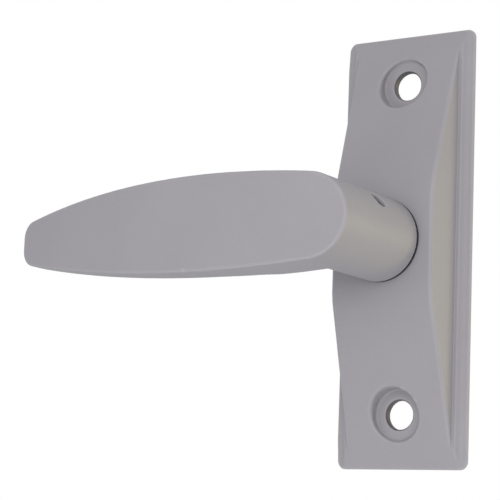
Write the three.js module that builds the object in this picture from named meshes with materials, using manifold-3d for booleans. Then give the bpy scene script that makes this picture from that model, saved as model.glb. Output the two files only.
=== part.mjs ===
// Lever handle trim for a narrow-stile door lock, in millimetres.
// Origin: where the handle's turning axis meets the door face.
// +Y points into the door, -Y towards the hand, +Z up. The lever points along -X at rest.
import * as THREE from 'three';
import { mergeVertices } from 'three/addons/utils/BufferGeometryUtils.js';
import Module from 'manifold-3d';

const wasm = await Module();
wasm.setup();

// ---------------------------------------------------------------- driving dimensions
const PLATE_WIDTH = 38.3;
const PLATE_HEIGHT = 117.3;
const PLATE_CORNER = 2.3;
const LIP_THICKNESS = 1.2;
const LEDGE_DEPTH = 2.6;
const LEDGE_HALF = 16.35;
const COVE_R = 3.5;
const WALL_FOOT_HALF = 15.4;
const WALL_TOP_HALF = 14.62;
const FRONT_DEPTH = 15.05;
const FRONT_EDGE_CHAMFER = 0.5;
const FLAT_HALF = 14.55;
const END_DEPTH = 1.1;
const WALL = 2.6;

const HOLE_Z = 44.45;
const SCREW_HOLE_R = 3.85;
const SCREW_HOLE_CHAMFER = 0.5;
const SCREW_SEAT_R = 6.9;
const SCREW_SEAT_DEPTH = 2.5;

const CAVITY_HALF_X = 12.4;
const CAVITY_HALF_Z = 31;
const RECESS_HALF_X = 13.6;
const RECESS_HALF_Z = 32.6;
const RECESS_DEPTH = 1.4;
const BEARING_BOSS_R = 13;
const BEARING_BOSS_BACK = -9.4;

const BUSH_R = 8.45;
const JOURNAL_R = 6.5;
const RUNNING_GAP = 0.06;
const FIT_GAP = 0.1;

const HUB_END_Y = -16;
const HUB_R = 11;
const HUB_EDGE = 0.4;
const HUB_TOP_Y = -45;
const LEVER_REACH = 97.5;
const LEVER_HALF_WIDTH = 12.5;
const WIDEST_X = -30.4;
const EDGE_RADIUS = 324;
const TIP_CORNER = 3.2;
const FACE_APEX_X = -15.6;
const FACE_APEX_Y = -54.9;
const FACE_RADIUS = 271;
const TIP_THICKNESS = 6;
const ROOT_THICKNESS = 11.5;

const SQUARE_HEAD = 9.5;
const HEAD_FRONT_Y = -44;
const HEAD_BACK_Y = -15.5;
const HEAD_CORNER = 0.45;
const SCREW_ANGLE = 43;
const SET_SCREW_Y = -32;
const SET_SCREW_R = 2.4;
const SET_SCREW_HEAD = 10.1;
const SOCKET_R = 1.45;
const SOCKET_DEPTH = 2.4;
const TAIL_SQUARE = 7.9;
const TAIL_CORNER = 0.4;
const TAIL_START_Y = -3.6;
const TAIL_END_Y = 22;
const GROOVE_R = 5.6;
const DRIVE_FLAT_HALF = 5.2;

// Places along the turning axis, front then back, in the order they are stacked.
const FRONT_WASHER = [-15.8, -15.2];
const BUSH = [-15, -9.3];
const REAR_WASHER = [-9.2, -8.7];
const DRIVER_DISC = [-8.5, -7];
const DRIVER_TAB_BACK = -1.9;
const WAVE_WASHER_Y = -6.2;
const RETAINING_RING = [-5.4, -4.4];
const GUIDE = [-4.2, -1.4];
const BACK_PLATE = [-1.3, -0.1];
const FRONT_WASHER_R = 11;
const REAR_WASHER_R = 9.1;
const DRIVER_R = 8.3;
const GUIDE_R = [6.9, 7.6];
const RING_R = 7.3;

const TURN_LIMIT = 45;
const STOP_PIN_R = 1.2;
const STOP_PIN_CIRCLE = 10.6;
const STOP_PIN = [-12.1, -6.9];
const TAB_HALF_WIDTH = 2.4;
const TAB_INNER_R = 9.6;
const TAB_OUTER_R = 11.2;

const WIRE_D = 1.3;
const COIL_R = 8.4;
const COIL_TURNS = 3;
const LEG_TOP_Z = 15.8;
const POST_Z = 14.2;
const POST_R = 2.4;
const RIVET_R = 1.4;

const PLATE_SCREW_X = 9;
const PLATE_SCREW_Z = 27.6;
const PLATE_SCREW_R = 1.5;
const PLATE_SCREW_TIP = -6;
const PLATE_SCREW_HEAD_R = 2.6;
const SINK_R = 2.95;
const SPINDLE_HOLE_R = 6.3;
const SCREW_BOSS_R = 3.8;

const ROUND_STEPS = 48;
// Cutting bodies run from here, in front of the plate, to here, behind the door face.
const CUT_FRONT = -20;
const CUT_BACK = 3;
const RAD = Math.PI / 180;

// ---------------------------------------------------------------- finishes
const finishes = {
  satin: { color: 0x8f8b92, roughness: 0.55, metalness: 0.35 },
  steel: { color: 0xb4b6b8, roughness: 0.35, metalness: 1.0 },
  blackened: { color: 0x2a2a2c, roughness: 0.5, metalness: 0.8 },
  spring: { color: 0x77797d, roughness: 0.3, metalness: 1.0 },
  nylon: { color: 0xe6e2d6, roughness: 0.6, metalness: 0.0 },
  blackNylon: { color: 0x1b1b1d, roughness: 0.6, metalness: 0.0 },
  bronze: { color: 0xb08a50, roughness: 0.45, metalness: 1.0 },
};

const trim = new THREE.Group();

function place(name, geometry, finish) {
  const mesh = new THREE.Mesh(geometry, new THREE.MeshStandardMaterial(finishes[finish]));
  mesh.name = name;
  trim.add(mesh);
  return mesh;
}

// ---------------------------------------------------------------- joining and cutting
function toSolid(geometry) {
  const bare = geometry.clone();
  bare.deleteAttribute('normal');
  bare.deleteAttribute('uv');
  const merged = mergeVertices(bare, 1e-4);
  const vertProperties = new Float32Array(merged.attributes.position.array);
  const triVerts = new Uint32Array(merged.index.array);
  return new wasm.Manifold(new wasm.Mesh({ numProp: 3, vertProperties, triVerts }));
}

function toGeometry(solid) {
  const mesh = solid.getMesh();
  const geometry = new THREE.BufferGeometry();
  geometry.setAttribute('position', new THREE.BufferAttribute(mesh.vertProperties, 3));
  geometry.setIndex(new THREE.BufferAttribute(mesh.triVerts, 1));
  return geometry;
}

function joined(...geometries) {
  return geometries.map(toSolid).reduce((whole, next) => whole.add(next));
}

// ---------------------------------------------------------------- basic forms
// A closed profile of [radius, y] turned about the Y axis.
function turned(profile, steps = ROUND_STEPS) {
  const points = profile.map(([r, y]) => new THREE.Vector2(r, y));
  const onAxis = profile[0][0] === 0 && profile[profile.length - 1][0] === 0;
  if (!onAxis) {
    points.push(points[0].clone());
  }
  return new THREE.LatheGeometry(points, steps);
}

function disc(radius, y0, y1, steps = ROUND_STEPS) {
  return turned([[0, y0], [radius, y0], [radius, y1], [0, y1]], steps);
}

function ring(inner, outer, y0, y1) {
  return turned([[inner, y0], [outer, y0], [outer, y1], [inner, y1]]);
}

// An outline drawn in X and Z, filled from y0 to y1.
function slab(shape, y0, y1, curveSegments = 12) {
  const geometry = new THREE.ExtrudeGeometry(shape, { depth: y1 - y0, bevelEnabled: false, curveSegments });
  geometry.rotateX(Math.PI / 2);
  geometry.translate(0, y1, 0);
  return geometry;
}

// An outline drawn in X and Y, filled between z = -half and +half.
function upright(shape, half, curveSegments = 12) {
  const options = { depth: 2 * half, bevelEnabled: false, curveSegments };
  const geometry = new THREE.ExtrudeGeometry(shape, options);
  geometry.translate(0, 0, -half);
  return geometry;
}

// An outline drawn with Z as its first and Y as its second value, filled between x = -half and +half.
function sideways(points, half) {
  const shape = new THREE.Shape(points.map(([z, y]) => new THREE.Vector2(z, y)));
  const geometry = new THREE.ExtrudeGeometry(shape, { depth: 2 * half, bevelEnabled: false });
  geometry.translate(0, 0, -half);
  geometry.rotateY(-Math.PI / 2);
  return geometry;
}

function roundedRectangle(halfX, halfZ, corner) {
  const shape = new THREE.Shape();
  shape.moveTo(halfX, -halfZ + corner);
  shape.lineTo(halfX, halfZ - corner);
  shape.absarc(halfX - corner, halfZ - corner, corner, 0, 90 * RAD);
  shape.lineTo(-halfX + corner, halfZ);
  shape.absarc(-halfX + corner, halfZ - corner, corner, 90 * RAD, 180 * RAD);
  shape.lineTo(-halfX, -halfZ + corner);
  shape.absarc(-halfX + corner, -halfZ + corner, corner, 180 * RAD, 270 * RAD);
  shape.lineTo(halfX - corner, -halfZ);
  shape.absarc(halfX - corner, -halfZ + corner, corner, 270 * RAD, 360 * RAD);
  return shape;
}

// ---------------------------------------------------------------- escutcheon
// The roof is a flat middle with a ramp down to each end; inset moves it back by a wall.
function roof(halfLength, inset) {
  const slope = (FRONT_DEPTH - END_DEPTH) / (PLATE_HEIGHT / 2 - FLAT_HALF);
  const endDepth = FRONT_DEPTH - inset - slope * (halfLength - FLAT_HALF);
  const front = FRONT_DEPTH - inset;
  return sideways([
    [-halfLength, 5], [-halfLength, -endDepth], [-FLAT_HALF, -front],
    [FLAT_HALF, -front], [halfLength, -endDepth], [halfLength, 5],
  ], PLATE_WIDTH);
}

// Thin lip, hollow cove up to a ledge, and a nearly upright wall to the front edge.
function crossSection() {
  const half = PLATE_WIDTH / 2;
  const front = -FRONT_DEPTH;
  const chamfer = FRONT_EDGE_CHAMFER;
  const shape = new THREE.Shape();
  const coveY = -LIP_THICKNESS - COVE_R;
  const coveEnd = Math.acos((half - LEDGE_HALF) / COVE_R);
  shape.moveTo(-half, 0);
  shape.lineTo(-half, -LIP_THICKNESS);
  shape.absarc(-half, coveY, COVE_R, 90 * RAD, coveEnd, true);
  shape.lineTo(-WALL_FOOT_HALF, -LEDGE_DEPTH);
  shape.lineTo(-WALL_TOP_HALF, front + chamfer);
  shape.lineTo(-WALL_TOP_HALF + chamfer, front);
  shape.lineTo(WALL_TOP_HALF - chamfer, front);
  shape.lineTo(WALL_TOP_HALF, front + chamfer);
  shape.lineTo(WALL_FOOT_HALF, -LEDGE_DEPTH);
  shape.absarc(half, coveY, COVE_R, 180 * RAD - coveEnd, 90 * RAD, true);
  shape.lineTo(half, 0);
  return upright(shape, PLATE_HEIGHT / 2, 6);
}

function screwBoss(x, z) {
  return disc(SCREW_BOSS_R, -FRONT_DEPTH, -RECESS_DEPTH, 24).translate(x, 0, z);
}

function plateScrewSpots() {
  const spots = [];
  for (const sx of [-1, 1]) {
    for (const sz of [-1, 1]) {
      spots.push([sx * PLATE_SCREW_X, sz * PLATE_SCREW_Z]);
    }
  }
  return spots;
}

function stopPinSpots() {
  const tabAngle = Math.asin(TAB_HALF_WIDTH / STOP_PIN_CIRCLE) / RAD;
  const pinAngle = Math.asin(STOP_PIN_R / STOP_PIN_CIRCLE) / RAD;
  const swing = (TURN_LIMIT + tabAngle + pinAngle + 0.8) * RAD;
  return [-swing, swing].map((a) => [STOP_PIN_CIRCLE * Math.sin(a), STOP_PIN_CIRCLE * Math.cos(a)]);
}

function makeEscutcheon() {
  const outline = slab(roundedRectangle(PLATE_WIDTH / 2, PLATE_HEIGHT / 2, PLATE_CORNER), CUT_FRONT, 0, 5);
  let body = toSolid(outline).intersect(toSolid(crossSection()));
  body = body.intersect(toSolid(roof(PLATE_HEIGHT / 2, 0)));

  const hollow = slab(roundedRectangle(CAVITY_HALF_X, CAVITY_HALF_Z, 2), CUT_FRONT, CUT_BACK, 4);
  let cavity = toSolid(hollow).intersect(toSolid(roof(CAVITY_HALF_Z + 4, WALL)));
  cavity = cavity.subtract(toSolid(disc(BEARING_BOSS_R, CUT_FRONT, BEARING_BOSS_BACK)));
  for (const [x, z] of plateScrewSpots()) {
    cavity = cavity.subtract(toSolid(screwBoss(x, z)));
  }
  body = body.subtract(cavity);
  const recess = slab(roundedRectangle(RECESS_HALF_X, RECESS_HALF_Z, 2), -RECESS_DEPTH, CUT_BACK, 4);
  body = body.subtract(toSolid(recess));

  body = body.subtract(toSolid(disc(BUSH_R + FIT_GAP / 2, CUT_FRONT, CUT_BACK)));
  for (const z of [-HOLE_Z, HOLE_Z]) {
    const rim = SCREW_HOLE_R + SCREW_HOLE_CHAMFER;
    const hole = turned([[0, CUT_FRONT], [rim, CUT_FRONT], [rim, -SCREW_SEAT_DEPTH],
      [SCREW_HOLE_R, -SCREW_SEAT_DEPTH + SCREW_HOLE_CHAMFER], [SCREW_HOLE_R, CUT_BACK], [0, CUT_BACK]], 36);
    body = body.subtract(toSolid(hole.translate(0, 0, z)));
    body = body.subtract(toSolid(disc(SCREW_SEAT_R, CUT_FRONT, -SCREW_SEAT_DEPTH).translate(0, 0, z)));
  }
  for (const [x, z] of plateScrewSpots()) {
    const pilot = disc(PLATE_SCREW_R + FIT_GAP, PLATE_SCREW_TIP - 2 * FIT_GAP, CUT_BACK, 16);
    body = body.subtract(toSolid(pilot.translate(x, 0, z)));
  }
  for (const [x, z] of stopPinSpots()) {
    const socket = disc(STOP_PIN_R + FIT_GAP / 2, STOP_PIN[0] - FIT_GAP, CUT_BACK, 16);
    body = body.subtract(toSolid(socket.translate(x, 0, z)));
  }
  place('escutcheon', toGeometry(body), 'satin');
}

// ---------------------------------------------------------------- lever
// Two long arcs from the round hub end to a blunt tip.
function leverOutline() {
  const drop = LEVER_HALF_WIDTH - EDGE_RADIUS;
  const startAngle = Math.acos(-WIDEST_X / EDGE_RADIUS);
  const tipX = -LEVER_REACH + TIP_CORNER;
  const tipAngle = Math.acos((tipX - WIDEST_X) / EDGE_RADIUS);
  const tipHalf = drop + EDGE_RADIUS * Math.sin(tipAngle);
  const shape = new THREE.Shape();
  shape.absarc(WIDEST_X, drop, EDGE_RADIUS, startAngle, tipAngle);
  shape.quadraticCurveTo(-LEVER_REACH, tipHalf - 1.2, -LEVER_REACH, tipHalf - TIP_CORNER - 0.8);
  shape.lineTo(-LEVER_REACH, -tipHalf + TIP_CORNER + 0.8);
  shape.quadraticCurveTo(-LEVER_REACH, -tipHalf + 1.2, tipX, -tipHalf);
  shape.absarc(WIDEST_X, -drop, EDGE_RADIUS, -tipAngle, -startAngle);
  shape.absarc(0, 0, HUB_R, -84 * RAD, 84 * RAD);
  return shape;
}

// Bowed front face, and a back that thickens from the tip towards the hub.
function leverSideView() {
  const shape = new THREE.Shape();
  const steps = 16;
  const xEnd = 13;
  const xTip = -LEVER_REACH - 1;
  const faceY = (x) => FACE_APEX_Y + FACE_RADIUS - Math.sqrt(FACE_RADIUS ** 2 - (x - FACE_APEX_X) ** 2);
  for (let i = 0; i <= steps; i += 1) {
    const x = xEnd + (xTip - xEnd) * (i / steps);
    if (i === 0) {
      shape.moveTo(x, faceY(x));
    } else {
      shape.lineTo(x, faceY(x));
    }
  }
  const rootX = -34;
  for (let i = 0; i <= steps; i += 1) {
    const t = i / steps;
    const x = xTip + (rootX - xTip) * t;
    const thickness = TIP_THICKNESS + (ROOT_THICKNESS - TIP_THICKNESS) * t ** 1.3;
    shape.lineTo(x, faceY(x) + thickness);
  }
  shape.quadraticCurveTo(-16, -41, -9.5, -33.5);
  shape.lineTo(xEnd, -33.5);
  return shape;
}

function makeLever() {
  const outline = slab(leverOutline(), FACE_APEX_Y - 5, CUT_FRONT, 12);
  const side = upright(leverSideView(), 20, 10);
  const blade = toSolid(outline).intersect(toSolid(side));
  const hub = turned([[0, HUB_TOP_Y], [HUB_R, HUB_TOP_Y], [HUB_R, HUB_END_Y - HUB_EDGE],
    [HUB_R - HUB_EDGE, HUB_END_Y], [0, HUB_END_Y]]);
  let lever = blade.add(toSolid(hub));
  const bore = squareBar(SQUARE_HEAD + 2 * FIT_GAP, HEAD_CORNER, HEAD_FRONT_Y - 0.5, 0, SCREW_ANGLE);
  lever = lever.subtract(toSolid(bore));
  const screwHole = disc(SET_SCREW_R + FIT_GAP, 4, 20, 24);
  lever = lever.subtract(toSolid(radial(screwHole)));
  place('lever_handle', toGeometry(lever), 'satin');
}

// A square bar along Y, turned about Y by an angle, with its four corners cut off flat.
function squareBar(side, corner, y0, y1, angle) {
  const half = side / 2;
  const near = half - corner;
  const corners = [[half, near], [near, half], [-near, half], [-half, near],
    [-half, -near], [-near, -half], [near, -half], [half, -near]];
  const shape = new THREE.Shape(corners.map(([x, z]) => new THREE.Vector2(x, z)));
  return slab(shape, y0, y1).rotateY(-angle * RAD);
}

// Moves a piece made along +Y so that it points outwards along the set screw's line.
function radial(geometry) {
  geometry.rotateZ(-Math.PI / 2);
  geometry.rotateY(-SCREW_ANGLE * RAD);
  geometry.translate(0, SET_SCREW_Y, 0);
  return geometry;
}

function makeSetScrew() {
  const tip = SQUARE_HEAD / 2 + FIT_GAP;
  const body = turned([[0, tip], [1.4, tip], [SET_SCREW_R, tip + 0.9], [SET_SCREW_R, SET_SCREW_HEAD - 0.3],
    [SET_SCREW_R - 0.3, SET_SCREW_HEAD], [0, SET_SCREW_HEAD]], 24);
  const socket = disc(SOCKET_R, SET_SCREW_HEAD - SOCKET_DEPTH, SET_SCREW_HEAD + 1, 6);
  const screw = toSolid(body).subtract(toSolid(socket));
  place('lever_set_screw', radial(toGeometry(screw)), 'blackened');
}

// ---------------------------------------------------------------- spindle and bearings
// A rectangle between x = -half and +half, from z0 to z1.
function strip(half, z0, z1) {
  const corners = [[-half, z0], [half, z0], [half, z1], [-half, z1]];
  return new THREE.Shape(corners.map(([x, z]) => new THREE.Vector2(x, z)));
}

// A round bar with two flats.
function doubleD(radius, flatHalf, y0, y1) {
  const flats = slab(strip(flatHalf, -2 * radius, 2 * radius), y0 - 1, y1 + 1);
  return toSolid(disc(radius, y0, y1)).intersect(toSolid(flats));
}

function makeSpindle() {
  const head = squareBar(SQUARE_HEAD, HEAD_CORNER, HEAD_FRONT_Y, HEAD_BACK_Y, SCREW_ANGLE);
  const tail = squareBar(TAIL_SQUARE, TAIL_CORNER, TAIL_START_Y, TAIL_END_Y, 0);
  const [ringFront, ringBack] = RETAINING_RING;
  const journal = disc(JOURNAL_R, HUB_END_Y + FIT_GAP, REAR_WASHER[1] + FIT_GAP);
  const groove = disc(GROOVE_R, ringFront - 0.6, ringBack + 0.6);
  let spindle = joined(head, tail, journal, groove);
  spindle = spindle.add(doubleD(JOURNAL_R, DRIVE_FLAT_HALF, REAR_WASHER[1] - FIT_GAP, ringFront - FIT_GAP));
  spindle = spindle.add(doubleD(JOURNAL_R, DRIVE_FLAT_HALF, ringBack + FIT_GAP, TAIL_START_Y + 0.2));
  place('drive_spindle', toGeometry(spindle), 'steel');
}

function makeBush() {
  const bore = JOURNAL_R + RUNNING_GAP;
  const [front, back] = BUSH;
  place('bearing_bush', turned([[bore, front + 0.4], [bore + 0.4, front], [BUSH_R - 0.3, front],
    [BUSH_R, front + 0.3], [BUSH_R, back], [bore, back]]), 'bronze');
}

function makeWashers() {
  place('front_thrust_washer', ring(JOURNAL_R + FIT_GAP, FRONT_WASHER_R, ...FRONT_WASHER), 'blackNylon');
  place('rear_thrust_washer', ring(JOURNAL_R + FIT_GAP, REAR_WASHER_R, ...REAR_WASHER), 'nylon');
}

// Three gentle waves round a thin ring.
function makeWaveWasher() {
  const inner = JOURNAL_R + FIT_GAP;
  const washer = ring(inner, 7.5, -0.18, 0.18);
  const position = washer.attributes.position;
  for (let i = 0; i < position.count; i += 1) {
    const angle = Math.atan2(position.getZ(i), position.getX(i));
    position.setY(i, position.getY(i) + 0.3 * Math.cos(3 * angle));
  }
  washer.translate(0, WAVE_WASHER_Y, 0);
  place('wave_washer', washer, 'spring');
}

// An open ring that snaps into the spindle's groove, with a hole in each ear.
function makeRetainingRing() {
  const gap = 24 * RAD;
  const shape = new THREE.Shape();
  shape.absarc(0, 0, RING_R, -90 * RAD + gap, 270 * RAD - gap);
  shape.absarc(0, 0, GROOVE_R + FIT_GAP, 270 * RAD - gap, -90 * RAD + gap, true);
  for (const side of [-1, 1]) {
    const ear = new THREE.Path();
    const angle = -90 * RAD + side * (gap + 9 * RAD);
    ear.absarc(6.5 * Math.cos(angle), 6.5 * Math.sin(angle), 0.4, 0, 360 * RAD, true);
    shape.holes.push(ear);
  }
  place('retaining_ring', slab(shape, ...RETAINING_RING, 24), 'spring');
}

// ---------------------------------------------------------------- return mechanism
function makeSpringDriver() {
  const [front, back] = DRIVER_DISC;
  const arm = slab(strip(TAB_HALF_WIDTH, JOURNAL_R - 0.5, TAB_OUTER_R), front, back);
  const tab = slab(strip(TAB_HALF_WIDTH, TAB_INNER_R, TAB_OUTER_R), front, DRIVER_TAB_BACK);
  let driver = joined(disc(DRIVER_R, front, back), arm, tab);
  driver = driver.subtract(doubleD(JOURNAL_R + FIT_GAP, DRIVE_FLAT_HALF + FIT_GAP, front - 1, back + 1));
  place('spring_driver', toGeometry(driver), 'steel');
}

// Close-wound coil with both ends turned straight up, one on each side of the driver's tab.
function makeReturnSpring() {
  const legX = TAB_HALF_WIDTH + WIRE_D / 2 + FIT_GAP;
  const legAngle = Math.acos(legX / COIL_R);
  const pitch = WIRE_D + FIT_GAP;
  const firstY = DRIVER_DISC[1] + 0.9;
  const sweep = COIL_TURNS * 2 * Math.PI - (Math.PI - 2 * legAngle);
  const points = [];
  for (const z of [LEG_TOP_Z, 13.4, 11.2]) {
    points.push(new THREE.Vector3(legX, firstY, z));
  }
  const coilSteps = 16 * COIL_TURNS;
  for (let i = 1; i < coilSteps; i += 1) {
    const t = i / coilSteps;
    const angle = legAngle - sweep * t;
    const y = firstY + pitch * (sweep / (2 * Math.PI)) * t;
    points.push(new THREE.Vector3(COIL_R * Math.cos(angle), y, COIL_R * Math.sin(angle)));
  }
  const lastY = firstY + pitch * (sweep / (2 * Math.PI));
  for (const z of [11.2, 13.4, LEG_TOP_Z]) {
    points.push(new THREE.Vector3(-legX, lastY, z));
  }
  const wire = new THREE.Shape();
  wire.absarc(0, 0, WIRE_D / 2, 0, 360 * RAD);
  const route = new THREE.CatmullRomCurve3(points, false, 'centripetal');
  const geometry = new THREE.ExtrudeGeometry(wire, { extrudePath: route, steps: 110, curveSegments: 5 });
  place('return_spring', geometry, 'spring');
}

function makeStopPins() {
  const names = ['stop_pin_left', 'stop_pin_right'];
  stopPinSpots().forEach(([x, z], i) => {
    const [front, back] = STOP_PIN;
    const pin = turned([[0, front], [STOP_PIN_R - 0.2, front], [STOP_PIN_R, front + 0.2],
      [STOP_PIN_R, back - 0.2], [STOP_PIN_R - 0.2, back], [0, back]], 16);
    place(names[i], pin, 'steel').position.set(x, 0, z);
  });
}

function makeSpringGuide() {
  place('spring_guide', ring(...GUIDE_R, ...GUIDE), 'nylon');
}

function makeSpringPost() {
  const front = DRIVER_DISC[1] - 0.3;
  const shoulder = BACK_PLATE[0] - FIT_GAP;
  const back = BACK_PLATE[1] - 0.05;
  const post = turned([[0, front], [POST_R - 0.3, front], [POST_R, front + 0.3], [POST_R, shoulder],
    [RIVET_R, shoulder], [RIVET_R, back], [0, back]], 24);
  place('spring_post', post, 'steel').position.set(0, 0, POST_Z);
}

// ---------------------------------------------------------------- back plate and its screws
function makeBackPlate() {
  const outline = roundedRectangle(RECESS_HALF_X - FIT_GAP, RECESS_HALF_Z - FIT_GAP, 2);
  const [front, back] = BACK_PLATE;
  let plate = toSolid(slab(outline, front, back, 4));
  plate = plate.subtract(toSolid(disc(SPINDLE_HOLE_R, -CUT_BACK, CUT_BACK)));
  plate = plate.subtract(toSolid(disc(RIVET_R + FIT_GAP, -CUT_BACK, CUT_BACK, 24).translate(0, 0, POST_Z)));
  for (const [x, z] of plateScrewSpots()) {
    const hole = PLATE_SCREW_R + FIT_GAP;
    const profile = [[0, -2], [hole, -2], [hole, front], [SINK_R, back + 0.15], [SINK_R, 1], [0, 1]];
    const sink = turned(profile, 24);
    plate = plate.subtract(toSolid(sink.translate(x, 0, z)));
  }
  place('back_plate', toGeometry(plate), 'steel');
}

function makePlateScrews() {
  plateScrewSpots().forEach(([x, z], i) => {
    const [front, back] = BACK_PLATE;
    const body = turned([[0, PLATE_SCREW_TIP], [PLATE_SCREW_R - 0.4, PLATE_SCREW_TIP],
      [PLATE_SCREW_R, PLATE_SCREW_TIP + 0.4], [PLATE_SCREW_R, front], [PLATE_SCREW_HEAD_R, back - 0.1],
      [PLATE_SCREW_HEAD_R, back - 0.02], [0, back - 0.02]], 24);
    const recess = disc(0.9, front + 0.1, 1, 6);
    const screw = toSolid(body).subtract(toSolid(recess));
    place(`back_plate_screw_${i + 1}`, toGeometry(screw), 'steel').position.set(x, 0, z);
  });
}

makeEscutcheon();
makeLever();
makeSetScrew();
makeSpindle();
makeBush();
makeWashers();
makeWaveWasher();
makeRetainingRing();
makeSpringDriver();
makeReturnSpring();
makeStopPins();
makeSpringGuide();
makeSpringPost();
makeBackPlate();
makePlateScrews();

export default trim;
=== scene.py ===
"""Lever handle trim for a narrow-stile lock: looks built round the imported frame.

The castings and machined pieces are solid fields, in millimetres, turned into quad meshes.
+X is right, +Y goes into the door, +Z is up, and the origin is on the turning axis at the door face.
"""
import math

import bpy
import numpy as np
from mathutils import Matrix, Vector


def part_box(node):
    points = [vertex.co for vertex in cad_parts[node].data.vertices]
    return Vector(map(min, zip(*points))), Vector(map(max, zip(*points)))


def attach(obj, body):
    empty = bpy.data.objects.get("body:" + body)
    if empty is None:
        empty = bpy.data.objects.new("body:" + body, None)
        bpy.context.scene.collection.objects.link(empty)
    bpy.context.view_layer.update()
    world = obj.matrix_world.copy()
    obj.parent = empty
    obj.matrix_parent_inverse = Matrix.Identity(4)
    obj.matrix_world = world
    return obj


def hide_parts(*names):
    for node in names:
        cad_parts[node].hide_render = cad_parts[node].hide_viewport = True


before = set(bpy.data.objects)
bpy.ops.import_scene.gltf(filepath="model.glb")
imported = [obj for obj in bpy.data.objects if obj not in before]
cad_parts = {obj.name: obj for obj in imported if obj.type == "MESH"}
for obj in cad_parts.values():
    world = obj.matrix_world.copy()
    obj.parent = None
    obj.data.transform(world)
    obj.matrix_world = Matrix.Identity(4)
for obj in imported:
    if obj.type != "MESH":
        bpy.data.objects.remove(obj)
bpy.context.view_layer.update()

MM = 0.001

# ------------------------------------------------------------------ driving dimensions
# Lengths are in millimetres and angles in radians. Slopes, stretches and powers have no unit.
PLATE_HALF = (19.15, 58.65)
PLATE_CORNER = 2.3
PLATE_BACK_EDGE = 0.08
LIP_DEPTH = 1.2
LIP_THINNED = 0.45
LIP_THINS = (50, 58)
LEDGE_DEPTH = 2.6
LEDGE_EDGE = 0.1
WALL_HALF = 14.62
WALL_DRAFT = 0.062
WALL_INSET = 1.0
WALL_FOOT = 0.2
COVE_R = 3.5
COVE_EDGE = 0.28
FRONT_DEPTH = 15.05
FLAT_HALF = 14.55
RAMP_SLOPE = 0.3163
RAMP_CREASE = 1.1
ROOF_EDGE = 0.8
ROOF_EDGE_LOST = 0.45
ROOF_EDGE_SHARPENS = (44, 56)
WALL_THICKNESS = 2.6

HOLE_Z = 44.45
SCREW_HOLE_R = 3.85
SCREW_HOLE_RIM = 0.55
SEAT_R = 6.9
SEAT_DEPTH = 2.5
SEAT_CORNER = 0.6
SEAT_RIM = 0.9
# The mounting holes' walls are dark out to the first radius and back to the paint colour at the second.
DARK_WALL_R = 4.05
DARK_WALL_END_R = 4.25

CAVITY_HALF = (12.4, 31.0)
RECESS_HALF = (13.6, 32.6)
RECESS_DEPTH = 1.4
INNER_CORNER = 2.0
BOSS_R = 13.0
BOSS_BACK = -9.4
SCREW_BOSS_R = 3.8
PLATE_SCREW = (9.0, 27.6)
PILOT_R = 1.6
PILOT_DEPTH = 6.2

HUB_END_Y = -16.0
HUB_END_EDGE = 0.2
HUB_R = 11.0
REACH = 97.5
TIP_CORNER = 3.6
EDGE_RADIUS = 324.0
WIDEST_X = -30.4
HALF_WIDTH = 12.5
FACE_APEX = (-15.6, -54.9)
FACE_RADIUS = 271.0
FACE_EDGE = 0.7
TIP_THICKNESS = 7.2
TAPER_LENGTH = 72
TAPER_GAIN = 3.8
TAPER_POWER = 1.4
NECK_GAIN = 2.8
NECK_THICKENS = (-32, -8)
NECK_X = -10.4
NECK_FILLET = 9.0
NECK_STRETCH = 1.03
NECK_CUT = 3.2
NECK_CUT_DEPTH = 6
NECK_END_Y = -24
NECK_END_EDGE = 3.0
BACK_EDGE = 0.8
BORE_FRONT = -44.5
BORE_CORNER = 0.3

SQUARE_HEAD = 9.5
HEAD_SPAN = (-44, -15.5)
HEAD_CORNER = 0.5
TAIL_SQUARE = 7.9
TAIL_START = -3.6
TAIL_END = 22.0
TAIL_CHAMFER = 1.2
JOURNAL_R = 6.5
JOURNAL_SPAN = (-15.9, -8.6)
GROOVE_R = 5.6
GROOVE_SPAN = (-6, -3.4)
KEY_HALF = 5.2
KEY_SPANS = ((-8.8, -5.5), (-4.3, -3.4))

SCREW_ANGLE = math.radians(43)
SET_SCREW_Y = -32.0
SET_SCREW_R = 2.4
SET_SCREW_FROM = 4
SET_SCREW_END = 10.1
SET_SCREW_PITCH = 0.8
SET_SCREW_THREAD = 0.07
SOCKET_HALF = 1.25
SOCKET_FLOOR = 7.6
CUP_R = 1.1
CUP_AT = 4.6

BUSH_R = 8.45
BUSH_SPAN = (-15, -9.3)
BUSH_BORE_GAP = 0.06
OIL_GROOVE_R = 0.45
OIL_GROOVE_Y = -12.1
FRONT_WASHER = (6.6, 11.0, -15.8, -15.2)
REAR_WASHER = (6.6, 9.1, -9.2, -8.7)
GUIDE = (6.9, 7.6, -4.2, -1.4)
WAVE_WASHER_R = (6.6, 7.5)
WAVE_WASHER_Y = -6.2
WAVE_HEIGHT = 0.3
WAVE_HALF_THICKNESS = 0.18
RETAINING_RING_R = (5.7, 7.3)
RETAINING_RING_SPAN = (-5.4, -4.4)
EAR_R = 6.5
EAR_HOLE_R = 0.4
RING_OPENING = math.radians(24)
EAR_OFFSET = math.radians(9)

DISC_R = 8.3
DISC_SPAN = (-8.5, -7)
TAB_HALF = 2.4
TAB_INNER = 9.6
TAB_OUTER = 11.2
TAB_BACK = -1.9
STOP_PIN_R = 1.0
STOP_PIN_SPAN = (-12.1, -6.9)

WIRE_R = 0.65
COIL_R = 8.4
COIL_TURNS = 3
COIL_GAP = 0.1
LEG_TOP = 15.8
SPRING_FRONT = -6.1
POST_Z = 14.2
POST_R = 2.4
POST_SPAN = (-7.3, -1.4)
POST_NECK_R = 1.9
POST_NECK_Y = -5.6
POST_NECK_HALF = 0.75
RIVET_R = 1.4
RIVET_SPAN = (-1.6, -0.1)

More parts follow.
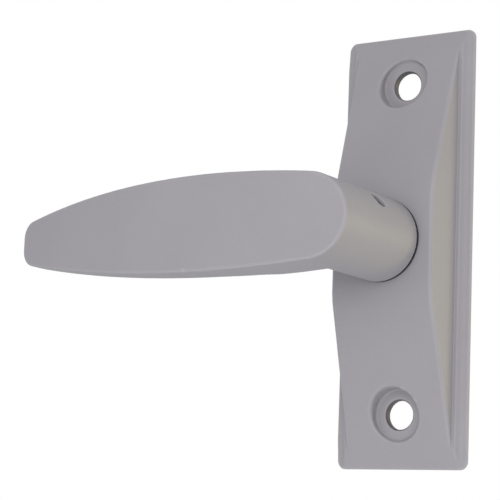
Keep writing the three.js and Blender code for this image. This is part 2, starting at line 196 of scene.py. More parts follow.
COVER_SPAN = (-1.3, -0.1)
COVER_GAP = 0.1
COVER_BORE_R = 6.3
RIVET_HOLE_R = 1.5
COVER_SINK_R = 2.95
COVER_SCREW_R = 1.38
COVER_SCREW_SPAN = (-6, -1)
COVER_SCREW_PITCH = 0.55
COVER_SCREW_THREAD = 0.09
COVER_HEAD_R = 2.6
COVER_HEAD_CONE = 2.75
COVER_HEAD_SPAN = (-1.6, -0.12)
CROSS_HALF = (0.27, 1.3)
CROSS_DEPTH = 1.15
CROSS_RISE = 0.7

GAP = 0.1


# ------------------------------------------------------------------ solid fields
# A field is below zero inside, above zero outside, and about the distance to the surface.
def length(*parts):
    return np.sqrt(sum(p * p for p in parts))


def both(a, b, r=0.0):
    """What a and b share, with the edge between them rounded to radius r."""
    if np.isscalar(r) and r == 0:
        return np.maximum(a, b)
    return np.minimum(-r, np.maximum(a, b)) + length(np.maximum(a + r, 0), np.maximum(b + r, 0))


def either(a, b, r):
    """a and b together, with the corner between them filled to radius r."""
    return np.maximum(r, np.minimum(a, b)) - length(np.maximum(r - a, 0), np.maximum(r - b, 0))


def without(a, b, r):
    """a with b cut out of it, with the edge of the cut rounded to radius r."""
    return both(a, -b, r)


def span(value, low, high):
    """The slab where value lies between low and high."""
    return np.maximum(low - value, value - high)


def rounded_rectangle(u, v, half_u, half_v, corner):
    p, q = np.abs(u) - half_u + corner, np.abs(v) - half_v + corner
    return length(np.maximum(p, 0), np.maximum(q, 0)) + np.minimum(np.maximum(p, q), 0) - corner


def smooth(value, start, end):
    """Rises from 0 at start to 1 at end, level at both."""
    t = np.clip((value - start) / (end - start), 0, 1)
    return t * t * (3 - 2 * t)


def rod(radius_at, y, r, ends, edge):
    """A turned length between two values of y, where radius_at is the distance from its axis."""
    return both(radius_at - r, span(y, *ends), edge)


# ------------------------------------------------------------------ from field to mesh
def crossings(value, inside, axes):
    """For every cell that the surface passes through, the mean of the crossings on its edges."""
    shape = tuple(n - 1 for n in value.shape)
    total = np.zeros(shape + (3,))
    count = np.zeros(shape)
    step = axes[0][1] - axes[0][0]
    corner = np.stack(np.meshgrid(*[a[:-1] for a in axes], indexing="ij"), -1)
    for axis in range(3):
        others = [k for k in range(3) if k != axis]
        for da in (0, 1):
            for db in (0, 1):
                low = [slice(0, -1)] * 3
                high = [slice(0, -1)] * 3
                for k, d in zip(others, (da, db)):
                    window = slice(d, value.shape[k] - 1 + d)
                    low[k] = window
                    high[k] = window
                high[axis] = slice(1, None)
                v0, v1 = value[tuple(low)], value[tuple(high)]
                crossed = inside[tuple(low)] != inside[tuple(high)]
                t = np.where(crossed, v0 / np.where(crossed, v0 - v1, 1), 0)
                point = corner.copy()
                point[..., axis] += t * step
                for k, d in zip(others, (da, db)):
                    point[..., k] += d * step
                total += np.where(crossed[..., None], point, 0)
                count += crossed
    return total, count


def quads_between(inside, index):
    """One quad round every grid edge that the surface crosses, facing outwards."""
    quads = []
    for axis in range(3):
        a, b = (axis + 1) % 3, (axis + 2) % 3
        start = [slice(None)] * 3
        end = [slice(None)] * 3
        start[axis], end[axis] = slice(0, -1), slice(1, None)
        for k in (a, b):
            start[k] = end[k] = slice(1, -1)
        first, second = inside[tuple(start)], inside[tuple(end)]
        where = np.argwhere(first != second)
        leaving = first[tuple(where.T)]
        ring = []
        for da, db in ((0, 0), (1, 0), (1, 1), (0, 1)):
            cell = where.copy()
            cell[:, a] += da
            cell[:, b] += db
            ring.append(index[tuple(cell.T)])
        ring = np.stack(ring, 1)
        ring[~leaving] = ring[~leaving][:, ::-1]
        quads.append(ring)
    return np.concatenate(quads)


def gradient(field, points, reach=0.02):
    """The field's slope at each point."""
    slope = np.empty_like(points)
    for axis in range(3):
        ahead, behind = points.copy(), points.copy()
        ahead[:, axis] += reach
        behind[:, axis] -= reach
        slope[:, axis] = (field(*ahead.T) - field(*behind.T)) / (2 * reach)
    return slope


def settle(field, points, step, rounds=4):
    """Moves points along the field's slope until they lie on its surface."""
    for _ in range(rounds):
        slope = gradient(field, points)
        size = np.maximum((slope ** 2).sum(1), 0.25)
        shift = np.clip(field(*points.T) / size, -step, step)
        points = points - slope * shift[:, None]
    return points


def relax(points, quads, share=0.5):
    """Moves each point part of the way to the middle of its neighbours."""
    total, count = np.zeros_like(points), np.zeros(len(points))
    for k in range(4):
        a, b = quads[:, k], quads[:, (k + 1) % 4]
        np.add.at(total, a, points[b])
        np.add.at(total, b, points[a])
        np.add.at(count, a, 1)
        np.add.at(count, b, 1)
    return points + (total / count[:, None] - points) * share


def mesh_object(name, points, faces, normals):
    mesh = bpy.data.meshes.new(name)
    mesh.from_pydata((points * MM).tolist(), [], faces.tolist())
    mesh.validate()
    mesh.shade_smooth()
    mesh.normals_split_custom_set_from_vertices(normals.tolist())
    piece = bpy.data.objects.new(name, mesh)
    bpy.context.scene.collection.objects.link(piece)
    return piece


def cast(name, field, low, high, step):
    """A closed quad mesh of the field inside the box from low to high."""
    axes = [np.arange(a - 1.5 * step, b + 2.5 * step, step) for a, b in zip(low, high)]
    value = field(*np.meshgrid(*axes, indexing="ij"))
    inside = value < 0
    total, count = crossings(value, inside, axes)
    mixed = count > 0
    index = np.full(mixed.shape, -1)
    index[mixed] = np.arange(mixed.sum())
    points = total[mixed] / count[mixed][:, None]
    quads = quads_between(inside, index)
    points = settle(field, points, step)
    for _ in range(2):
        points = settle(field, relax(points, quads), step, 3)
    normals = gradient(field, points)
    normals /= np.maximum(np.linalg.norm(normals, axis=1), 1e-6)[:, None]
    return mesh_object(name, points, quads, normals)


# ------------------------------------------------------------------ escutcheon
def roof(y, z, inset=0.0):
    """The flat front and its two ramps, moved in by inset."""
    front = -y - FRONT_DEPTH + inset
    ramp = (front + RAMP_SLOPE * (np.abs(z) - FLAT_HALF)) / math.hypot(1, RAMP_SLOPE)
    return both(front, ramp, RAMP_CREASE)


def plate_screw_axes(x, z):
    """Distance from the nearest of the four cover screws' axes."""
    return length(np.abs(x) - PLATE_SCREW[0], np.abs(z) - PLATE_SCREW[1])


def hollow(x, y, z):
    """The space behind the front wall, round the bearing boss and the four screw bosses."""
    inner_roof = roof(y, z, WALL_THICKNESS)
    cavity = both(rounded_rectangle(x, z, *CAVITY_HALF, INNER_CORNER), inner_roof, 0.8)
    boss = both(length(x, z) - BOSS_R, y - BOSS_BACK, 0.3)
    screw_boss = plate_screw_axes(x, z) - SCREW_BOSS_R
    cavity = without(without(cavity, boss, 0.5), screw_boss, 0.5)
    recess = both(rounded_rectangle(x, z, *RECESS_HALF, INNER_CORNER), -y - RECESS_DEPTH, 0.1)
    return np.minimum(cavity, recess)


def escutcheon_field(x, y, z):
    """The cast plate: lip with a cove, side walls, ramped front, seats and holes, hollow behind."""
    across, along = np.abs(x), np.abs(z)
    outline = rounded_rectangle(x, z, *PLATE_HALF, PLATE_CORNER)
    base = both(outline, -y - LEDGE_DEPTH, LEDGE_EDGE)
    lip = LIP_DEPTH - LIP_THINNED * smooth(along, *LIP_THINS)
    cove = length(across - PLATE_HALF[0], y + lip + COVE_R) - COVE_R
    base = without(base, cove, COVE_EDGE)
    wall = across - WALL_HALF - WALL_DRAFT * (y + FRONT_DEPTH)
    solid = either(base, both(wall, outline + WALL_INSET), WALL_FOOT)
    roof_edge = ROOF_EDGE - ROOF_EDGE_LOST * smooth(along, *ROOF_EDGE_SHARPENS)
    solid = both(solid, roof(y, z), roof_edge)
    solid = both(solid, y, PLATE_BACK_EDGE)
    hole_axis = length(x, along - HOLE_Z)
    seat = both(hole_axis - SEAT_R, y + SEAT_DEPTH, SEAT_CORNER)
    solid = without(without(solid, seat, SEAT_RIM), hole_axis - SCREW_HOLE_R, SCREW_HOLE_RIM)
    solid = without(solid, hollow(x, y, z), 0.15)
    solid = without(solid, length(x, z) - BUSH_R - GAP / 2, 0.2)
    return without(solid, both(plate_screw_axes(x, z) - PILOT_R, -y - PILOT_DEPTH), 0.1)


# ------------------------------------------------------------------ lever
def lever_outline(x, z):
    """Two long arcs that run on smoothly into the round hub end."""
    offset = EDGE_RADIUS - HALF_WIDTH
    arcs = length(x - WIDEST_X, np.abs(z) + offset) - EDGE_RADIUS
    past_hub = x * offset + np.abs(z) * WIDEST_X > 0
    end = length(x, z) - HUB_R
    return np.where(past_hub, end, both(arcs, -REACH - x, TIP_CORNER))


def face_depth(x):
    """Where the long arc of the lever's face lies at x."""
    return FACE_APEX[1] + FACE_RADIUS - np.sqrt(FACE_RADIUS ** 2 - np.square(x - FACE_APEX[0]))


def blade_thickness(x):
    """Thickest at the neck, thinnest at the tip."""
    along = np.clip((x + REACH) / TAPER_LENGTH, 0, 1)
    return TIP_THICKNESS + TAPER_GAIN * along ** TAPER_POWER + NECK_GAIN * smooth(x, *NECK_THICKENS)


def lever_field(x, y, z):
    """Blade and hub in one, with the square bore and the set screw's hole."""
    xs = np.clip(x, -REACH - 5, 20)
    front = length(x - FACE_APEX[0], y - FACE_APEX[1] - FACE_RADIUS) - FACE_RADIUS
    back = y - face_depth(xs) - blade_thickness(xs)
    hub = length(x, z) - HUB_R
    side = either(back / NECK_STRETCH, NECK_X - x, NECK_FILLET)
    narrowed = lever_outline(x, z) + NECK_CUT * smooth(back, 0, NECK_CUT_DEPTH)
    blade = both(both(narrowed, side, BACK_EDGE), y - NECK_END_Y, NECK_END_EDGE)
    solid = both(either(blade, hub, 1e-6), front, FACE_EDGE)
    solid = both(solid, y - HUB_END_Y, HUB_END_EDGE)
    u, v = turn(x, z, SCREW_ANGLE)
    bore_half = SQUARE_HEAD / 2 + GAP
    bore = both(rounded_rectangle(u, v, bore_half, bore_half, BORE_CORNER), BORE_FRONT - y)
    solid = without(solid, bore, 0.2)
    screw_hole = both(length(y - SET_SCREW_Y, v) - SET_SCREW_R - GAP, SET_SCREW_FROM - u)
    return without(solid, screw_hole, 0.3)


def turn(x, z, angle):
    """x and z seen in axes turned from +X towards +Z."""
    c, s = math.cos(angle), math.sin(angle)
    return x * c + z * s, z * c - x * s


# ------------------------------------------------------------------ machined and sheet pieces
def spindle_field(x, y, z):
    """Square head, journal, keyed length with a ring groove, and a square tail with a chamfered end."""
    u, v = turn(x, z, SCREW_ANGLE)
    radius = length(x, z)
    half_head, half_tail = SQUARE_HEAD / 2, TAIL_SQUARE / 2
    head = both(rounded_rectangle(u, v, half_head, half_head, HEAD_CORNER), span(y, *HEAD_SPAN), 0.4)
    journal = rod(radius, y, JOURNAL_R, JOURNAL_SPAN, 0.3)
    flats = both(radius - JOURNAL_R, np.abs(x) - KEY_HALF, 0.15)
    keyed = both(flats, np.minimum(*[span(y, *ends) for ends in KEY_SPANS]), 0.12)
    groove = rod(radius, y, GROOVE_R, GROOVE_SPAN, 0.1)
    tail = both(rounded_rectangle(x, z, half_tail, half_tail, HEAD_CORNER), span(y, TAIL_START, TAIL_END))
    slope = np.maximum(np.abs(x), np.abs(z)) + (y - TAIL_END) - half_tail + TAIL_CHAMFER
    tail = both(tail, slope / math.sqrt(2), 0.2)
    return np.minimum.reduce([head, journal, keyed, groove, tail])


def set_screw_field(x, y, z):
    """Cup-pointed screw with a hexagon socket, thread cut round it, lying along the screw's line."""
    u, v = turn(x, z, SCREW_ANGLE)
    w = y - SET_SCREW_Y
    around = np.arctan2(w, v)
    thread = SET_SCREW_THREAD * np.cos(around + u * 2 * math.pi / SET_SCREW_PITCH)
    ends = span(u, SQUARE_HEAD / 2 + GAP, SET_SCREW_END)
    body = both(length(v, w) - SET_SCREW_R + GAP - thread, ends, 0.3)
    turned_edges = [np.abs(v * math.cos(k) + w * math.sin(k)) for k in np.radians((0, 60, 120))]
    socket = both(np.maximum.reduce(turned_edges) - SOCKET_HALF, SOCKET_FLOOR - u, 0.1)
    cup = length(v, w, u - CUP_AT) - CUP_R
    return without(without(body, socket, 0.15), cup, 0.1)


def back_plate_field(x, y, z):
    """Cover sheet with a bore for the spindle, a rivet hole and four countersinks."""
    half_x, half_z = RECESS_HALF[0] - COVER_GAP, RECESS_HALF[1] - COVER_GAP
    sheet = both(rounded_rectangle(x, z, half_x, half_z, INNER_CORNER), span(y, *COVER_SPAN), 0.15)
    sheet = without(sheet, length(x, z) - COVER_BORE_R, 0.15)
    sheet = without(sheet, length(x, z - POST_Z) - RIVET_HOLE_R, 0.05)
    axis = plate_screw_axes(x, z)
    cone = (axis - COVER_SINK_R - y - GAP) / math.sqrt(2)
    return without(sheet, np.minimum(axis - PILOT_R, cone), 0.05)


def plate_screw_field(x, y, z):
    """Countersunk screw with a cross recess and a rolled thread, on its own axis."""
    radius = length(x, z)
    thread = COVER_SCREW_THREAD * np.cos(np.arctan2(z, x) + y * 2 * math.pi / COVER_SCREW_PITCH)
    shank = both(radius - COVER_SCREW_R - thread, span(y, *COVER_SCREW_SPAN), 0.2)
    cone = (radius - COVER_HEAD_CONE - y) / math.sqrt(2)
    head = both(both(radius - COVER_HEAD_R, cone, 0.1), span(y, *COVER_HEAD_SPAN), 0.1)
    narrow, wide = CROSS_HALF
    upright_arm = both(np.abs(x) - narrow, np.abs(z) - wide)
    level_arm = both(np.abs(z) - narrow, np.abs(x) - wide)
    depth = CROSS_DEPTH - CROSS_RISE * np.clip(radius / wide, 0, 1)
    recess = both(np.minimum(upright_arm, level_arm), -y - depth)
    return without(np.minimum(shank, head), recess, 0.06)


def spring_post_field(x, y, z):
    """Post with a waist for the spring's legs, riveted into the cover sheet."""
    radius = length(x, z - POST_Z)
    post = rod(radius, y, POST_R, POST_SPAN, 0.25)
    neck = both(np.abs(y - POST_NECK_Y) - POST_NECK_HALF, POST_NECK_R - radius, 0.1)
    rivet = rod(radius, y, RIVET_R, RIVET_SPAN, 0.3)
    return np.minimum(without(post, neck, 0.15), rivet)


def ring_field(inner, outer, y0, y1, edge):
    """The field of a flat ring or sleeve."""
    def field(x, y, z):
        radius = length(x, z)
        return both(both(radius - outer, inner - radius), span(y, y0, y1), edge)
    return field


def wave_washer_field(x, y, z):
    """Three gentle waves round a thin ring."""
    radius = length(x, z)
    middle = WAVE_WASHER_Y + WAVE_HEIGHT * np.cos(3 * np.arctan2(z, x))
    ring = both(radius - WAVE_WASHER_R[1], WAVE_WASHER_R[0] - radius)
    return both(ring, np.abs(y - middle) - WAVE_HALF_THICKNESS, 0.08)


def retaining_ring_field(x, y, z):
    """Open ring with a hole in each ear."""
    radius = length(x, z)
    from_gap = np.abs(np.arctan2(x, -z))
    ring = both(radius - RETAINING_RING_R[1], RETAINING_RING_R[0] - radius)
    band = both(ring, (RING_OPENING - from_gap) * EAR_R, 0.25)
    ear = RING_OPENING + EAR_OFFSET
    hole = length(np.abs(x) - EAR_R * math.sin(ear), z + EAR_R * math.cos(ear)) - EAR_HOLE_R
    return without(both(band, span(y, *RETAINING_RING_SPAN), 0.12), hole, 0.1)


def spring_field(x, y, z):
    """Close-wound coil with both ends turned straight up beside the driver's tab."""
    leg_x = TAB_HALF + WIRE_R + GAP
    leg_angle = math.acos(leg_x / COIL_R)
    turns = COIL_TURNS - (math.pi - 2 * leg_angle) / (2 * math.pi)
    pitch = 2 * WIRE_R + COIL_GAP
    radius = length(x, z)
    passed = ((leg_angle - np.arctan2(z, x)) / (2 * math.pi)) % 1.0
    wire = np.full(np.shape(radius), np.inf)
    for turn_number in range(COIL_TURNS + 1):
        at = passed + turn_number
        past_end = np.maximum(at - turns, 0) * 2 * math.pi * COIL_R
        wire = np.minimum(wire, length(radius - COIL_R, y - SPRING_FRONT - pitch * at, past_end))
    foot = math.sqrt(COIL_R ** 2 - leg_x ** 2)
    for side, leg_y in ((1, SPRING_FRONT), (-1, SPRING_FRONT + pitch * turns)):
        beyond = np.maximum(np.maximum(foot - z, z - LEG_TOP + WIRE_R), 0)
        wire = np.minimum(wire, length(x - side * leg_x, y - leg_y, beyond))
    return wire - WIRE_R


def bush_field(x, y, z):
    """Sintered bush with an oil groove round its bore."""
    radius = length(x, z)
    bore_r = JOURNAL_R + BUSH_BORE_GAP
    oil_groove = length(radius - bore_r, y - OIL_GROOVE_Y) - OIL_GROOVE_R
    ring = both(both(radius - BUSH_R, bore_r - radius, 0.05), span(y, *BUSH_SPAN), 0.3)
    return without(ring, oil_groove, 0.05)


def driver_field(x, y, z):
    """Keyed disc with an arm whose end is bent back into a tab."""
    arm = both(np.abs(x) - TAB_HALF, span(z, 3, TAB_OUTER), 0.4)
    disc = np.minimum(length(x, z) - DISC_R, arm)
    plate = both(disc, span(y, *DISC_SPAN), 0.2)
    tab = both(np.abs(x) - TAB_HALF, span(z, TAB_INNER, TAB_OUTER), 0.2)
    tab = both(tab, span(y, DISC_SPAN[0], TAB_BACK), 0.2)
    bore = both(length(x, z) - JOURNAL_R - GAP, np.abs(x) - KEY_HALF - GAP)
    return without(either(plate, tab, 0.6), bore, 0.15)


def stop_pin_field(x, y, z):
    return rod(length(x, z), y, STOP_PIN_R, STOP_PIN_SPAN, 0.25)


# ------------------------------------------------------------------ materials
def new_material(name):
    material = bpy.data.materials.new(name)
    material.use_nodes = True
    nodes = material.node_tree.nodes
    return material, nodes, material.node_tree.links, nodes["Principled BSDF"]


def object_space(nodes, links, stretch=(1, 1, 1)):
    coordinate = nodes.new("ShaderNodeTexCoord").outputs["Object"]
    mapping = nodes.new("ShaderNodeMapping")
    mapping.inputs["Scale"].default_value = stretch
    links.new(coordinate, mapping.inputs["Vector"])
    return mapping.outputs["Vector"]


def noise(nodes, links, place, scale, detail, roughness=0.5):
    node = nodes.new("ShaderNodeTexNoise")
    node.inputs["Scale"].default_value = scale
    node.inputs["Detail"].default_value = detail
    node.inputs["Roughness"].default_value = roughness
    links.new(place, node.inputs["Vector"])
    return node.outputs["Fac"]


def ramp(nodes, links, value, stops):
    node = nodes.new("ShaderNodeValToRGB")
    elements = node.color_ramp.elements
    while len(elements) < len(stops):
        elements.new(0.5)
    for element, (place, colour) in zip(elements, stops):
        element.position = place
        element.color = (*colour, 1)
    links.new(value, node.inputs["Fac"])
    return node.outputs["Color"]


def grey(value):
    return (value, value, value)


def shades(nodes, links, value, pair):
    """Runs from the first shade of the pair to the second over the middle of the value's range."""
    return ramp(nodes, links, value, [(0.3, pair[0]), (0.7, pair[1])])


def mix(nodes, links, share, first, second):
    node = nodes.new("ShaderNodeMix")
    node.data_type = "RGBA"
    links.new(share, node.inputs["Factor"])
    links.new(first, node.inputs[6])
    links.new(second, node.inputs[7])
    return node.outputs[2]


def bump(nodes, links, height, strength, distance, under=None):
    node = nodes.new("ShaderNodeBump")
    node.inputs["Strength"].default_value = strength
    node.inputs["Distance"].default_value = distance
    links.new(height, node.inputs["Height"])
    if under is not None:
        links.new(under, node.inputs["Normal"])
    return node.outputs["Normal"]


def edge_wear_and_highlight(nodes, links, sharp, blunt):
    """1 on ridges and 0 elsewhere, from how the surface points away from its neighbours."""
    point = nodes.new("ShaderNodeNewGeometry").outputs["Pointiness"]
    return ramp(nodes, links, point, [(blunt, grey(0)), (sharp, grey(1))])


def arithmetic(nodes, links, operation, first, second=0.0):
    node = nodes.new("ShaderNodeMath")
    node.operation = operation
    for socket, value in zip(node.inputs, (first, second)):
        if isinstance(value, float):
            socket.default_value = value
        else:
            links.new(value, socket)
    return node.outputs["Value"]


def hole_walls(nodes, links, place):
    """1 on the walls of the two mounting holes, which are coloured dark, 0 elsewhere."""
    apart = nodes.new("ShaderNodeSeparateXYZ")
    links.new(place, apart.inputs["Vector"])
    across = apart.outputs["X"]
    along = arithmetic(nodes, links, "ABSOLUTE", apart.outputs["Z"])
    along = arithmetic(nodes, links, "SUBTRACT", along, HOLE_Z * MM)
    across_squared = arithmetic(nodes, links, "MULTIPLY", across, across)
    along_squared = arithmetic(nodes, links, "MULTIPLY", along, along)
    squared = arithmetic(nodes, links, "ADD", across_squared, along_squared)
    radius = arithmetic(nodes, links, "SQRT", squared)
    centimetres = arithmetic(nodes, links, "MULTIPLY", radius, 100.0)
    edges = [(DARK_WALL_R / 10, grey(1.0)), (DARK_WALL_END_R / 10, grey(0.0))]
    return ramp(nodes, links, centimetres, edges)


PAINT_SHADES = ((0.362, 0.348, 0.372), (0.386, 0.372, 0.396))
# Lighter paint for the painted highlight along ridges and rounded edges.
RIDGE_HIGHLIGHT_SHADES = ((0.44, 0.425, 0.45), (0.47, 0.455, 0.48))
# Dark colour for the walls of the two mounting holes.
DARK_WALL_SHADES = ((0.10, 0.097, 0.10), (0.15, 0.146, 0.15))
DUST_SHADES = ((0.26, 0.25, 0.26), (0.30, 0.29, 0.30))
PIGMENT_SHADES = ((0.348, 0.334, 0.357), (0.404, 0.390, 0.414))
PAINT_ROUGHNESS = (0.44, 0.54)
PAINT_SPECULAR = 0.42


def satin_paint():
    """Even satin grey with a faint purple cast, orange peel, fine pigment, a few specks, a painted
    highlight along the ridges and dark walls in the two mounting holes.
    """
    material, nodes, links, shader = new_material("satin_grey_paint")
    place = object_space(nodes, links)
    cloud = noise(nodes, links, place, 55, 4)
    base = shades(nodes, links, cloud, PAINT_SHADES)
    pigment = noise(nodes, links, place, 5200, 2)
    fine = ramp(nodes, links, pigment, [(0.35, PIGMENT_SHADES[0]), (0.65, PIGMENT_SHADES[1])])
    share = shades(nodes, links, noise(nodes, links, place, 300, 2), (grey(0.25), grey(0.5)))
    colour = mix(nodes, links, share, base, fine)
    grit = noise(nodes, links, place, 1300, 1)
    specks = ramp(nodes, links, grit, [(0.80, grey(0)), (0.84, grey(0.55))])
    dust = ramp(nodes, links, cloud, [(0.0, DUST_SHADES[0]), (1.0, DUST_SHADES[1])])
    colour = mix(nodes, links, specks, colour, dust)
    # Painted highlight: the paint colour is lightened along ridges and rounded edges, where the light
    # catches them.
    ridge = edge_wear_and_highlight(nodes, links, 0.56, 0.512)
    bright = ramp(nodes, links, cloud, [(0.0, RIDGE_HIGHLIGHT_SHADES[0]), (1.0, RIDGE_HIGHLIGHT_SHADES[1])])
    painted_highlight = ramp(nodes, links, ridge, [(0.0, grey(0)), (1.0, grey(0.85))])
    colour = mix(nodes, links, painted_highlight, colour, bright)
    # The walls of the two mounting holes are coloured dark.
    dark_wall = shades(nodes, links, cloud, DARK_WALL_SHADES)
    colour = mix(nodes, links, hole_walls(nodes, links, place), colour, dark_wall)
    links.new(colour, shader.inputs["Base Color"])
    sheen = noise(nodes, links, place, 900, 3)
    rough = shades(nodes, links, sheen, [grey(value) for value in PAINT_ROUGHNESS])
    links.new(rough, shader.inputs["Roughness"])
    peel = bump(nodes, links, noise(nodes, links, place, 620, 2), 0.10, 0.00010)
    links.new(bump(nodes, links, pigment, 0.10, 0.00003, peel), shader.inputs["Normal"])
    shader.inputs["Specular IOR Level"].default_value = PAINT_SPECULAR
    return material


GRAIN_DEPTH = 0.00004
SPARK_DEPTH = 0.00005


def metal(name, dark, light, rough, stretch=(1, 1, 1), grain=2600):
    """Machined or drawn metal: grain along one direction, stained and rubbed patches, bright edges."""
    material, nodes, links, shader = new_material(name)
    lines = noise(nodes, links, object_space(nodes, links, stretch), grain, 4, 0.6)
    place = object_space(nodes, links)
    stain = noise(nodes, links, place, 210, 5, 0.6)
    first = shades(nodes, links, stain, (dark, light))
    second = shades(nodes, links, lines, (dark, light))
    share = ramp(nodes, links, stain, [(0.0, grey(0.35)), (1.0, grey(0.65))])
    colour = mix(nodes, links, share, first, second)
    ridge = edge_wear_and_highlight(nodes, links, 0.58, 0.52)
    brightest = tuple(min(1, channel * 1.2) for channel in light)
    rubbed = ramp(nodes, links, lines, [(0.0, brightest), (1.0, light)])
    links.new(mix(nodes, links, ridge, colour, rubbed), shader.inputs["Base Color"])
    spread = shades(nodes, links, lines, (grey(rough - 0.07), grey(rough + 0.09)))
    links.new(spread, shader.inputs["Roughness"])
    links.new(bump(nodes, links, lines, 0.25, GRAIN_DEPTH), shader.inputs["Normal"])
    shader.inputs["Metallic"].default_value = 1.0
    return material


def plastic(name, dark, light, rough):
    """Moulded nylon: cloudy body colour and a fine spark texture."""
    material, nodes, links, shader = new_material(name)
    place = object_space(nodes, links)
    cloud = noise(nodes, links, place, 260, 4)
    links.new(shades(nodes, links, cloud, (dark, light)), shader.inputs["Base Color"])
    spark = noise(nodes, links, place, 3200, 3)
    spread = shades(nodes, links, spark, (grey(rough - 0.08), grey(rough + 0.08)))
    links.new(spread, shader.inputs["Roughness"])
    links.new(bump(nodes, links, spark, 0.2, SPARK_DEPTH), shader.inputs["Normal"])
    return material


MATERIALS = {
    "satin_paint": satin_paint(),
    "zinc_steel": metal("zinc_plated_steel", (0.50, 0.51, 0.53), (0.70, 0.71, 0.72), 0.33),
    "blackened_steel": metal("black_oxide_steel", (0.05, 0.05, 0.055), (0.13, 0.13, 0.14), 0.42),
    "spring_steel": metal("drawn_spring_steel", (0.30, 0.31, 0.33), (0.48, 0.49, 0.51), 0.30, (1, 6, 1)),
    "bronze": metal("sintered_bronze", (0.44, 0.30, 0.15), (0.66, 0.49, 0.27), 0.46, (1, 1, 1), 4200),
    "nylon": plastic("natural_nylon", (0.74, 0.71, 0.62), (0.86, 0.84, 0.78), 0.48),
    # Near-black nylon for the front thrust washer: painted shade, standing in for the dark shadow in the
    # gap under the hub.
    "black_nylon": plastic("black_nylon", (0.010, 0.010, 0.011), (0.024, 0.024, 0.026), 0.55),
}


# ------------------------------------------------------------------ pieces
def add(name, field, low, high, step, body, node, slot, place=(0, 0, 0)):
    """Meshes a field inside the box from low to high on a grid of the given step, all in millimetres."""
    piece = cast(name, field, low, high, step)
    if any(place):
        piece.data.transform(Matrix.Translation(Vector(place) * MM))
    piece.data.materials.append(MATERIALS[slot])
    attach(piece, body)
    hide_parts(node)


FIXED = "escutcheon_body"
TURNING = "lever_body"
add("escutcheon_casting", escutcheon_field, (-19.2, -15.1, -58.7), (19.2, 0, 58.7), 0.45,
    FIXED, "escutcheon", "satin_paint")
add("lever_casting", lever_field, (-97.6, -55.0, -12.6), (11.1, -16, 12.6), 0.45,
    TURNING, "lever_handle", "satin_paint")
add("set_screw", set_screw_field, (1, -35, 1), (10, -29, 10), 0.14,
    TURNING, "lever_set_screw", "blackened_steel")
add("spindle", spindle_field, (-7, -44.1, -7), (7, 22.1, 7), 0.35,
    TURNING, "drive_spindle", "zinc_steel")
# The front washer is flush with the hub and near black, as painted shade for the shadow gap under the
# hub.
add("thrust_washer", ring_field(*FRONT_WASHER, 0.12), (-11.1, -15.9, -11.1), (11.1, -15.1, 11.1), 0.2,
    FIXED, "front_thrust_washer", "black_nylon")
add("inner_washer", ring_field(*REAR_WASHER, 0.15), (-9.2, -9.3, -9.2), (9.2, -8.6, 9.2), 0.2,
    FIXED, "rear_thrust_washer", "nylon")
add("guide_sleeve", ring_field(*GUIDE, 0.15), (-7.7, -4.3, -7.7), (7.7, -1.3, 7.7), 0.2,
    FIXED, "spring_guide", "nylon")
add("wave_ring", wave_washer_field, (-7.6, -6.8, -7.6), (7.6, -5.6, 7.6), 0.14,
    TURNING, "wave_washer", "spring_steel")
add("snap_ring", retaining_ring_field, (-7.4, -5.5, -7.4), (7.4, -4.3, 7.4), 0.17,
    TURNING, "retaining_ring", "spring_steel")
add("torsion_spring", spring_field, (-9.1, -6.8, -9.1), (9.1, -1.2, 15.9), 0.22,
    FIXED, "return_spring", "spring_steel")
add("bush", bush_field, (-8.5, -15, -8.5), (8.5, -9.3, 8.5), 0.25,
    FIXED, "bearing_bush", "bronze")
add("driver", driver_field, (-8.4, -8.6, -8.4), (8.4, -1.8, 11.3), 0.25,
    TURNING, "spring_driver", "zinc_steel")
add("post", spring_post_field, (-2.5, -7.4, 11.7), (2.5, 0, 16.7), 0.18,
    FIXED, "spring_post", "zinc_steel")
add("cover_sheet", back_plate_field, (-13.6, -1.4, -32.6), (13.6, 0, 32.6), 0.3,
    FIXED, "back_plate", "zinc_steel")

for number, (sx, sz) in enumerate([(-1, -1), (-1, 1), (1, -1), (1, 1)], start=1):
    add(f"cover_screw_{number}", plate_screw_field, (-2.7, -6.1, -2.7), (2.7, 0, 2.7), 0.13,
        FIXED, f"back_plate_screw_{number}", "zinc_steel", (sx * PLATE_SCREW[0], 0, sz * PLATE_SCREW[1]))

for side in ("left", "right"):
    low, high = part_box(f"stop_pin_{side}")
    middle = [(a + b) / 2 / MM for a, b in zip(low, high)]
    add(f"pin_{side}", stop_pin_field, (-1.3, -12.2, -1.3), (1.3, -6.8, 1.3), 0.16,
        FIXED, f"stop_pin_{side}", "zinc_steel", (middle[0], 0, middle[2]))


# ------------------------------------------------------------------ floor, light, camera
WORLD_COLOUR = (0.95, 0.96, 1.0, 1)
WORLD_STRENGTH = 0.67
WHITE = (1, 1, 1, 1)
FLOOR_HALF = 3.0
FLOOR_Z = -0.30
FLOOR_COLOUR = (0.8, 0.8, 0.8, 1)
FLOOR_ROUGHNESS = 0.8
CAMERA_PLACE = Vector((0.2313, -0.4424, -0.0833))
CAMERA_AIM = Vector((-0.05008, 0.0, 0.00267))
CAMERA_ROLL = math.radians(2.23)
CAMERA_LENS = 135.6
CAMERA_SENSOR = 36


def area_light(name, place, target, size, power, colour):
    data = bpy.data.lights.new(name, "AREA")
    data.shape = "SQUARE"
    data.size = size
    data.energy = power
    data.color = colour
    light = bpy.data.objects.new(name, data)
    light.location = place
    light.rotation_euler = (Vector(target) - Vector(place)).to_track_quat("-Z", "Y").to_euler()
    bpy.context.scene.collection.objects.link(light)


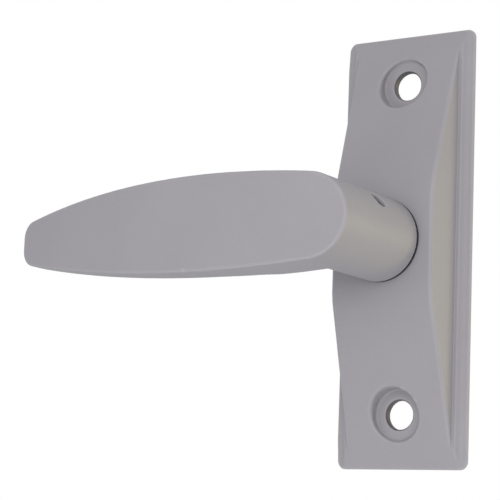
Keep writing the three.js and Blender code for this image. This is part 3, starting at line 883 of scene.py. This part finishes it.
def make_world():
    """Dim even light from all round, behind a plain white backdrop."""
    world = bpy.data.worlds.new("studio")
    world.use_nodes = True
    nodes = world.node_tree.nodes
    links = world.node_tree.links
    soft_light = nodes["Background"]
    soft_light.inputs["Color"].default_value = WORLD_COLOUR
    soft_light.inputs["Strength"].default_value = WORLD_STRENGTH
    backdrop = nodes.new("ShaderNodeBackground")
    backdrop.inputs["Color"].default_value = WHITE
    backdrop.inputs["Strength"].default_value = 1.0
    path = nodes.new("ShaderNodeLightPath")
    choose = nodes.new("ShaderNodeMixShader")
    links.new(path.outputs["Is Camera Ray"], choose.inputs["Fac"])
    links.new(soft_light.outputs["Background"], choose.inputs[1])
    links.new(backdrop.outputs["Background"], choose.inputs[2])
    links.new(choose.outputs["Shader"], nodes["World Output"].inputs["Surface"])
    bpy.context.scene.world = world


def make_floor():
    """A plain pale floor that casts no shadow, so that the low light reaches the object through it."""
    mesh = bpy.data.meshes.new("floor")
    corners = [(FLOOR_HALF * u, FLOOR_HALF * v, FLOOR_Z) for u, v in ((-1, -1), (1, -1), (1, 1), (-1, 1))]
    mesh.from_pydata(corners, [], [(0, 1, 2, 3)])
    floor = bpy.data.objects.new("floor", mesh)
    bpy.context.scene.collection.objects.link(floor)
    floor.visible_shadow = False
    material, _, _, shader = new_material("pale_floor")
    shader.inputs["Base Color"].default_value = FLOOR_COLOUR
    shader.inputs["Roughness"].default_value = FLOOR_ROUGHNESS
    mesh.materials.append(material)


def make_camera():
    data = bpy.data.cameras.new("camera")
    data.sensor_width = CAMERA_SENSOR
    data.lens = CAMERA_LENS
    camera = bpy.data.objects.new("camera", data)
    level = (CAMERA_AIM - CAMERA_PLACE).to_track_quat("-Z", "Y").to_matrix().to_4x4()
    roll = Matrix.Rotation(CAMERA_ROLL, 4, "Z")
    camera.matrix_world = Matrix.Translation(CAMERA_PLACE) @ level @ roll
    bpy.context.scene.collection.objects.link(camera)
    bpy.context.scene.camera = camera


bpy.context.scene.view_settings.view_transform = "Standard"
make_world()
make_floor()
make_camera()
area_light("key", (0.16, -0.40, 0.02), (0.02, 0, 0), 0.3, 0.55, (1.0, 0.99, 0.94))
area_light("front_left", (-0.55, -0.75, 0.15), (0, 0, 0), 0.5, 0.16, (1.0, 0.85, 0.75))
area_light("low_bounce", (-0.05, -0.45, -0.85), (0, 0, 0), 0.5, 1.7, (0.89, 0.92, 1.0))
area_light("warm_right", (0.46, 0.385, -0.02), (0, 0, 0), 0.25, 0.82, (1.0, 0.88, 0.42))
